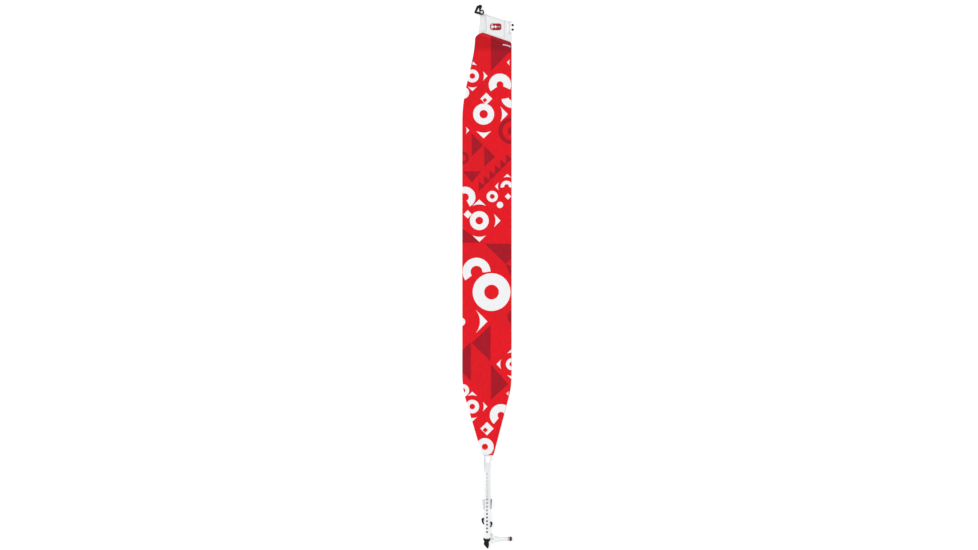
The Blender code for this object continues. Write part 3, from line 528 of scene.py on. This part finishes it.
def print_shapes():
    """Every printed shape in millimetres, from the lowest layer to the highest, as (colour, outline)."""
    shapes = []

    def put(color, *outlines):
        shapes.extend((color, outline) for outline in outlines)

    def ring(color, centre, outer, inner):
        put(color, circle(centre, outer))
        put(RED, circle(centre, inner))

    def motif(centre, radius, headings, outer, inner):
        """A ring in a clear round field with hollow corners about it."""
        put(RED, circle(centre, radius))
        put(WHITE, *[corner(centre, radius, heading) for heading in headings])
        ring(WHITE, centre, outer, inner)

    # Broad second tone of red.
    put(SHADE, [(-80, 700), (8, 700), (8, 560), (-60, 470), (-80, 470)])
    put(SHADE, [(-80, 404), (-30, 404), (18, 345), (18, 250), (-80, 330)])
    put(SHADE, [(-80, 20), (80, 20), (80, 96), (-8, 96), (-80, 70)])
    put(SHADE, [(-6, -40), (80, -40), (80, -190), (18, -120)])
    put(SHADE, [(-49, -190), (8, -240), (8, -360), (-49, -300)])

    # Dark facets.
    put(DARK, [(8, 700), (8, 587), (57, 637), (80, 650), (80, 700)])
    put(DARK, [(-47, 410), (-47, 343), (-14, 375)])
    put(DARK, [(-11, 373), (-11, 314), (21, 342)])
    put(DARK, [(-72, 301), (-20, 301), (-46, 268)])
    put(DARK, *teeth((-27, 244), 15.5, 6))
    put(DARK, [(-80, 143), (-20, 98), (-80, 96)])
    put(DARK, [(-9, 94), (80, 94), (80, 62), (50, 36)])
    put(DARK, [(50, 36), (80, 26), (80, -12), (64, 2)])
    put(DARK, [(7, -138), (7, -241), (-47, -190)])
    put(DARK, [(-80, -215), (-49, -186), (-49, -298), (-80, -268)])
    put(DARK, [(8, -250), (8, -353), (57, -307)])

    # Dark rings that the edges cut.
    ring(DARK, (68, 416), 38.5, 27)
    ring(DARK, (-73, 339), 18, 10)
    put(DARK, circle((68, 416), 12), circle((77, -115), 22))

    # White work: rings, crescents, diamonds and hollow-sided corners.
    put(WHITE, band((40, 612), 52, 49, 56, 88))
    put(WHITE, corner((82, 612), 20, 180), corner((-86, 418), 23, 0))
    motif((-44.7, 573), 30.4, (0, 90, 270), 18.5, 8)
    put(WHITE, circle((-71, 525), 17))
    motif((-12.6, 464), 48.8, (0, 270), 30, 12)
    put(WHITE, diamond((-5, 508), 17))
    put(RED, diamond((-9, 504), 7))
    put(WHITE, band((34, 548), 32, 10, -25, 215))
    put(WHITE, band((68, 512), 30, 9, 190, 300))

    motif((-25, 160), 42.9, (0, 90, 270), 27, 11)
    put(WHITE, band((-66, 227), 30, 11, -62, 118), diamond((-58, 178), 12))
    put(RED, circle((55, 258), 25))
    put(WHITE, corner((55, 258), 25, 90), corner((55, 258), 25, 180), band((53, 257), 17, 7, -10, 190))
    ring(WHITE, (12, 229), 16, 7)
    put(WHITE, circle((34, 205), 9), diamond((57, 229), 9))

    put(WHITE, band((-33, 14), 40, 17, -4, 218))
    put(RED, circle((10, -44), 59))
    ring(WHITE, (10, -44), 54, 21)
    put(RED, circle((-75, -128), 51.8))
    put(WHITE, corner((-75, -128), 51.8, 0, 1.0, 41.0), circle((-77, -129), 12))

    motif((68, -250), 31, (90, 180, 270), 17, 7)
    put(WHITE, corner((75, -334), 16, 180))
    ring(WHITE, (-72, -325), 18, 7)
    motif((-45, -371), 30.3, (0, 90, 270), 19.5, 8)
    put(WHITE, band((37, -396), 32, 10, 20, 230))
    put(WHITE, diamond((-3, -434), 19))
    put(RED, diamond((-8, -438), 8))
    ring(WHITE, (-9, -486), 25, 9)
    return shapes


def slanted(x, drop):
    """A point at a given distance below the slanted tip edge."""
    return (x, TOP_LINE + TOP_SLOPE * x - drop)


def paint(points):
    """The colour at each (x, y) point in metres: the print, and a dark band along the slanted tip edge."""
    found = np.full(len(points), RED, dtype=object)
    for color, outline in print_shapes():
        scaled = [(x * MM, y * MM) for x, y in outline]
        found[inside(scaled, points)] = color
    found[points[:, 1] > slanted(points[:, 0], BORDER_WIDTH)[1]] = DARK
    return found


def plush_network(outline, rings, low, high):
    """The points of the plush, and the edges that its triangles keep: rims, print and height lines."""
    points, edges = [], []

    def add_loop(loop):
        first = len(points)
        points.extend(Vector(point) for point in loop)
        count = len(loop)
        edges.extend((first + index, first + (index + 1) % count) for index in range(count))

    add_loop(outline)
    for ring in rings:
        add_loop(ring)
    for _, shape in print_shapes():
        add_loop([(x * MM, y * MM) for x, y in shape])
    steps = (TONGUE_LENGTH - TONGUE_STEP, TONGUE_LENGTH + TONGUE_STEP)
    for drop in (BORDER_WIDTH, *DEEP_BAND_DROP, *steps):
        edges.append((len(points), len(points) + 1))
        points.extend(Vector(slanted(x, drop)) for x in (low.x - 10.0 * MM, high.x + 10.0 * MM))
    columns = np.arange(low.x, high.x, GRID_STEP)
    rows = np.arange(low.y, high.y, GRID_STEP)
    shifts = [0.5 * GRID_STEP if index % 2 else 0.0 for index in range(len(rows))]
    grid = np.array([(x + shift, y) for shift, y in zip(shifts, rows) for x in columns])
    points.extend(Vector(point) for point in grid[inside(rings[-1], grid)])
    return points, edges


def divided(outline, points, edges):
    """Triangles inside an outline along given edges: their points, and three indices for each."""
    result = delaunay_2d_cdt(points, edges, [], 0, MERGE_DISTANCE)
    flat = np.array([tuple(point) for point in result[0]])
    faces = np.array([face for face in result[2] if len(face) == 3])
    faces = faces[inside(outline, flat[faces].mean(axis=1))]
    used = np.unique(faces)
    index_of = np.full(len(flat), -1)
    index_of[used] = np.arange(len(used))
    return flat[used], index_of[faces]


def plush_colors(flat, faces, outline):
    """The colour of each triangle: the print, and a dark band along the edge at the tip."""
    middle = flat[faces].mean(axis=1)
    colors = paint(middle)
    dark_edge = (nearest(middle, outline) < DARK_EDGE_WIDTH) & (middle[:, 1] > DARK_EDGE_FOOT)
    colors[dark_edge] = DARK
    return colors


def closed_sheet(flat, height, floor, faces, colors):
    """A sheet with a coloured top, a flat base and side walls."""
    bm = bmesh.new()
    top = [bm.verts.new((x, y, z)) for (x, y), z in zip(flat, height)]
    base = [bm.verts.new((x, y, floor)) for x, y in flat]
    uses = {}
    for (a, b, c), color in zip(faces, colors):
        face = bm.faces.new((top[a], top[b], top[c]))
        face.material_index = PLUSH_SLOTS.index(color)
        face.smooth = True
        under = bm.faces.new((base[c], base[b], base[a]))
        under.material_index = PLUSH_SLOTS.index(CUT)
        for start, end in ((a, b), (b, c), (c, a)):
            uses[(start, end)] = True
    for start, end in uses:
        if (end, start) not in uses:
            side = bm.faces.new((base[start], base[end], top[end], top[start]))
            side.material_index = PLUSH_SLOTS.index(CUT)
    bmesh.ops.recalc_face_normals(bm, faces=bm.faces)
    return bm


def make_plush(materials):
    """The printed fabric: a closed sheet whose top is divided along the print."""
    outline = top_outline(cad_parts["plush_fabric"])
    low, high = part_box("plush_fabric")
    rings = [moved_in(outline, depth) for depth, _ in EDGE_RINGS]
    flat, faces = divided(outline, *plush_network(outline, rings, low, high))
    colors = plush_colors(flat, faces, outline)
    height = plush_height(flat, outline, rings, high.z)
    bm = closed_sheet(flat, height, low.z, faces, colors)
    plush = mesh_object("plush_print", bm, *[materials[key] for key in PLUSH_SLOTS])
    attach(plush, "skin")
    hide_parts("plush_fabric")


def plush_height(flat, outline, rings, top):
    """Z of each top point: a rounded rim, faint ripples and a step over the tongue."""
    height = np.full(len(flat), top - EDGE_DROP * 0.2)
    x, y = flat[:, 0], flat[:, 1]
    ripple = np.sin(x * 61.0 + 1.3 * np.sin(y * 17.0)) * np.cos(y * 43.0 + 2.0 * np.sin(x * 25.0))
    height += RIPPLE * ripple
    above = y - slanted(x, TONGUE_LENGTH + TONGUE_STEP)[1]
    height += TONGUE_RISE * np.clip(above / (2.0 * TONGUE_STEP), 0.0, 1.0)
    height[nearest(flat, outline) < TOLERANCE] -= EDGE_DROP
    for (_, drop), ring in zip(EDGE_RINGS, rings):
        height[nearest(flat, ring) < TOLERANCE] -= drop
    return height


def nearest(points, outline):
    """Each point's distance to a closed outline."""
    best = np.full(len(points), 1e9)
    for start, end in zip(outline, outline[1:] + outline[:1]):
        start, end = np.array(start), np.array(end)
        run = end - start
        length = float(run @ run)
        if length == 0.0:
            continue
        share = np.clip(((points - start) @ run) / length, 0.0, 1.0)
        best = np.minimum(best, np.linalg.norm(points - (start + share[:, None] * run), axis=1))
    return best


# --------------------------------------------------------------------- trim


def stitch_row(bm, start, end, height):
    """Adds a row of sunken stitches between two points."""
    start, end = Vector(start), Vector(end)
    run = end - start
    count = int(run.length / STITCH_PITCH) + 1
    turn = Matrix.Rotation(math.atan2(run.y, run.x), 4, "Z") @ Matrix.Rotation(math.pi / 2.0, 4, "Y")
    stretch = Matrix.Diagonal((STITCH_FLATNESS, 1.0, STITCH_LENGTH / STITCH_RADIUS / 2.0, 1.0))
    for index in range(count):
        centre = start + run * (index + 0.5) / count
        place = Matrix.Translation((centre.x, centre.y, height)) @ turn
        shape = bmesh.ops.create_uvsphere(
            bm, u_segments=8, v_segments=6, radius=STITCH_RADIUS, matrix=Matrix()
        )
        bmesh.ops.transform(bm, matrix=place @ stretch, verts=shape["verts"])


def make_stitches(red, white):
    """Seams along the tip and at the tail, through plush and tongue."""
    low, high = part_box("plush_fabric")
    plate_low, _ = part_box("tip_plate")
    bm = bmesh.new()
    sides = (plate_low.x + TIP_SEAM_MARGINS[0], high.x - TIP_SEAM_MARGINS[1])
    for drop in TIP_SEAM_DROPS:
        stitch_row(bm, *[slanted(x, drop) for x in sides], high.z + TONGUE_RISE)
    finish_trim("tip_seams", bm, red)
    bm = bmesh.new()
    for rise in TAIL_SEAM_RISES:
        ends = [(x + rise * flare, low.y + rise) for x, flare in zip(TAIL_SEAM_ENDS, TAIL_SEAM_FLARE)]
        stitch_row(bm, *ends, high.z + 0.05 * MM)
    finish_trim("tail_seams", bm, white)


def rail(bm, points, width, height):
    """Adds a low rounded rail that follows (x, y, z) points."""
    right = [(0.3, 0.85), (0.5, 0.35), (0.5, -0.4)]
    profile = [(-across, up) for across, up in reversed(right)] + [(0.0, 1.0)] + right
    rows = []
    for index, point in enumerate(points):
        before = Vector(points[max(0, index - 1)])
        after = Vector(points[min(len(points) - 1, index + 1)])
        run = (after - before).to_2d().normalized()
        side = Vector((run.y, -run.x, 0.0))
        spots = [
            Vector(point) + side * across * width + Vector((0.0, 0.0, up * height))
            for across, up in profile
        ]
        rows.append([bm.verts.new(spot) for spot in spots])
    for first, second in zip(rows, rows[1:]):
        for index in range(len(profile)):
            after = (index + 1) % len(profile)
            bm.faces.new((first[index], first[after], second[after], second[index]))
    bm.faces.new(rows[0])
    bm.faces.new(rows[-1][::-1])


def surface_height(node):
    """A function that gives the top of a CAD node at a place, or 0 beside it."""
    tree = BVHTree.FromObject(node, bpy.context.evaluated_depsgraph_get())
    world = node.matrix_world

    def height(x, y):
        start = world.inverted() @ Vector((x, y, 0.1))
        spot = tree.ray_cast(start, world.inverted().to_3x3() @ Vector((0.0, 0.0, -1.0)))[0]
        return (world @ spot).z if spot else 0.0

    return height


def make_strap_trim(white, grey):
    """The strap's two raised rims and an eyelet at each hole; the eyelets are grey as painted shade inside
    the holes.
    """
    height = surface_height(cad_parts["tail_strap"])

    def laid_on(route):
        return [(x, y, height(x, y)) for x, y in route]

    bm = bmesh.new()
    for side, top_x in zip((-1.0, 1.0), YOKE_RIM_X):
        x = STRAP_X + side * STRAP_RIM_X
        route = [(top_x - side * YOKE_RIM_INSET, YOKE_TOP_Y), (x, YOKE_FOOT_Y)]
        route += [(x, y) for y in RIM_PLACES_Y]
        route.append((x, STRAP_END_Y))
        rail(bm, laid_on(route), *STRAP_RIM_SIZE)
    finish_trim("strap_rims", bm, white)
    bm = bmesh.new()
    for index in range(HOLE_COUNT):
        route = circle((STRAP_X, HOLE_FIRST_Y - HOLE_PITCH * index), EYELET_RADIUS, 20.0)
        route.append(route[0])
        rail(bm, laid_on(route), *EYELET_SIZE)
    finish_trim("strap_eyelets", bm, grey)


def finish_trim(name, bm, material, body="skin"):
    """A small piece of trim, ready on its body."""
    bmesh.ops.recalc_face_normals(bm, faces=bm.faces)
    trim = smooth(mesh_object(name, bm, material), 50.0)
    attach(trim, body)


def make_cover_border(material):
    """A low rail a little inside the edge of the raised panel."""
    bm = bmesh.new()
    _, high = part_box("tip_cover")
    route = moved_in(top_outline(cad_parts["tip_cover"]), BORDER_INSET)
    route.append(route[0])
    rail(bm, [(x, y, high.z) for x, y in route], *BORDER_SIZE)
    finish_trim("cover_border", bm, material)


def make_arm_ribs(material):
    """Grip ribs across the left arm, shorter towards its end."""
    bm = bmesh.new()
    _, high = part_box("left_arm")
    root, end = Vector(ARM_ROOT), Vector(ARM_END)
    run = (end - root).normalized()
    side = Vector((-run.y, run.x))
    for index in range(ARM_RIBS):
        middle = root + run * (ARM_RIB_START + ARM_RIB_PITCH * index)
        half = side * (ARM_RIB_HALF - ARM_RIB_TAPER * index)
        rail(bm, [(*(middle - half), high.z), (*(middle + half), high.z)], *ARM_RIB_SIZE)
    finish_trim("arm_ribs", bm, material, "left_arm")


def make_hook_ribs(material):
    """Grip ribs on the tail hook."""
    bm = bmesh.new()
    for index in range(HOOK_RIBS):
        y = HOOK_RIB_Y - HOOK_RIB_PITCH * index
        ends = [(HOOK_RIB_X[0], y, TAIL_HOOK_TOP), (HOOK_RIB_X[1], y - HOOK_RIB_LEAN, TAIL_HOOK_TOP)]
        rail(bm, ends, *HOOK_RIB_SIZE)
    finish_trim("tail_hook_ribs", bm, material, "tail_hook")


def make_pad_ribs(material):
    """Grip ribs on the edge pad."""
    bm = bmesh.new()
    low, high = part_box("edge_pad")
    left, right = low.x + PAD_RIB_MARGINS[0], high.x - PAD_RIB_MARGINS[1]
    for index in range(PAD_RIBS):
        y = low.y + PAD_RIB_START + PAD_RIB_PITCH * index
        rail(bm, [(left, y, high.z), (right, y, high.z)], *PAD_RIB_SIZE)
    finish_trim("edge_pad_ribs", bm, material, "edge_arm")


def make_badge_inlay(pale):
    """Plain geometric inlays on the badge."""
    low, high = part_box("tip_badge")
    middle = (low + high) / 2.0
    outlines = [
        [(x - 9.4, y) for x, y in circle((0.0, 0.0), 3.9)],
        diamond((-0.6, 0.0), 4.3),
        corner((4.2, 0.0), 6.2, 0.0),
        corner((-0.8, 0.0), 6.2, 0.0),
        [(-14.0, 6.0), (-11.0, 7.6), (-8.0, 6.0), (-11.0, 5.2)],
        [(-14.0, -6.0), (-11.0, -7.6), (-8.0, -6.0), (-11.0, -5.2)],
    ]
    for index, outline in enumerate(outlines):
        placed = [(middle.x + x * MM, middle.y + y * MM) for x, y in outline]
        inlay = upright("badge_inlay_%d" % index, placed, high.z - INLAY_SINK, high.z + INLAY_RISE, pale)
        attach(inlay, "skin")


# -------------------------------------------------------------------- stage


def make_stage():
    """Floor, light and camera."""
    scene = bpy.context.scene
    scene.view_settings.view_transform = "Standard"
    world = bpy.data.worlds.new("studio")
    scene.world = world
    world.use_nodes = True
    background = world.node_tree.nodes["Background"]
    background.inputs["Color"].default_value = (1.0, 1.0, 1.0, 1.0)
    background.inputs["Strength"].default_value = WORLD_STRENGTH
    bm = bmesh.new()
    bmesh.ops.create_grid(bm, x_segments=2, y_segments=2, size=FLOOR_HALF)
    floor = mesh_object("studio_floor", bm, floor_material())
    floor.location.z = -FLOOR_DROP
    key = bpy.data.lights.new("key", "SUN")
    key.energy = KEY_ENERGY
    key.angle = math.radians(KEY_ANGLE)
    lamp = bpy.data.objects.new("key", key)
    lamp.rotation_euler = Vector(KEY_HEADING).to_track_quat("-Z", "Y").to_euler()
    scene.collection.objects.link(lamp)
    lens = bpy.data.cameras.new("camera")
    lens.lens = CAMERA_LENS
    lens.sensor_width = SENSOR_WIDTH
    lens.clip_end = 50.0
    camera = bpy.data.objects.new("camera", lens)
    camera.location = (*CAMERA_AIM, PICTURE_WIDTH * CAMERA_LENS / SENSOR_WIDTH)
    scene.collection.objects.link(camera)
    scene.camera = camera


def dress(names, material):
    """Gives CAD nodes a better material."""
    for name in names:
        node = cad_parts[name]
        node.data.materials.clear()
        node.data.materials.append(material)
        smooth(node, 32.0)


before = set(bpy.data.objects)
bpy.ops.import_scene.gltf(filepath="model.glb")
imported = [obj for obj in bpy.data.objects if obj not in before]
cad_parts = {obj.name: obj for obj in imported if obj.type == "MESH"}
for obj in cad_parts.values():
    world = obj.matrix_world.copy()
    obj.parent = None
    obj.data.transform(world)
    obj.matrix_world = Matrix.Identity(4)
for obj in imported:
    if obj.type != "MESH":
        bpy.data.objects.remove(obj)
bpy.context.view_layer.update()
make_stage()

prints = {
    RED: plush_material("plush_bright", srgb(228, 29, 40)),
    SHADE: plush_material("plush_second", srgb(222, 30, 40)),
    DARK: plush_material("plush_dark", srgb(166, 28, 42)),
    WHITE: plush_material("plush_white", srgb(240, 242, 244), 0.93, 1.03, 0.1),
    CUT: cut_edge_material("plush_rim", srgb(196, 30, 40)),
}
# Both mouldings glow a little: painted light that lightens their shade and the creases between parts.
pale = plastic_material("moulded_pale", srgb(191, 192, 193), 0.4, 0.02, painted_glow=0.26)
cover = plastic_material("moulded_cover", srgb(195, 196, 197), 0.36, 0.02, painted_glow=0.26)
black = rubber_material("moulded_black", srgb(15, 15, 16), 0.45)
steel = steel_material("turned_steel", srgb(176, 178, 181), (1.0, 1.0, 0.1))
alloy = steel_material("bright_alloy", srgb(232, 233, 235), (1.0, 1.0, 0.1))
# upper and lower are the painted shade on the strap's middle, above and towards the clip.
strap = strap_material(
    "strap_white",
    margin=srgb(246, 247, 248),
    yoke=srgb(222, 223, 225),
    upper=srgb(228, 229, 231),
    lower=srgb(239, 240, 242),
)
# Painted shade: the edge arm is painted greyer above 9.2 mm, on its raised rails, for the shade along
# them.
arm_with_painted_rail_shade = graded_plastic(
    "arm_with_painted_rail_shade", srgb(237, 238, 239), srgb(216, 217, 219), (9.2, 9.5), axis=UPWARD
)
# Painted shade: the guide's right cheek is painted dark grey, as if in shade from light falling from the
# left.
guide_with_painted_shade = graded_plastic("moulded_painted_shade_right", srgb(218, 220, 222), srgb(124, 126, 128), (5.0, 9.0))
pad_red = graded_plastic("pad_dark_red", srgb(188, 170, 171), srgb(84, 66, 68), (61.2, 61.6), 0.1)

make_plush(prints)
make_stitches(
    thread_material("seam_red", srgb(160, 24, 34)), thread_material("seam_white", srgb(226, 226, 228))
)
dress(["tip_plate", "left_arm", "right_hook", "left_arm_rivet", "clip_plate"], pale)
dress(["tip_cover", "tip_rod"], cover)
dress(["tip_badge"], rubber_material("badge_dark_red", srgb(140, 20, 32)))
dress(["left_hook", "upper_hook_ball", "lower_hook_ball", "tail_hook", "clip_body"], black)
dress(["right_axle", "tail_hook_pin"], steel)
dress(["left_hook_pin", "edge_arm_rivet"], alloy)
dress(["tail_strap"], strap)
dress(["strap_guide"], guide_with_painted_shade)
dress(["edge_arm"], arm_with_painted_rail_shade)
dress(["edge_pad"], pad_red)
dress(["backing_film"], plastic_material("film", srgb(120, 124, 128), 0.5))
dress(["glue_coat"], glue_material("glue", srgb(70, 72, 76)))
# The eyelets' grey is painted shade for the strap's holes.
make_strap_trim(strap, plastic_material("eyelet_painted_hole_shade", srgb(152, 154, 157), 0.4))
make_badge_inlay(cover)
make_cover_border(cover)
make_arm_ribs(pale)
make_hook_ribs(black)
make_pad_ribs(black)
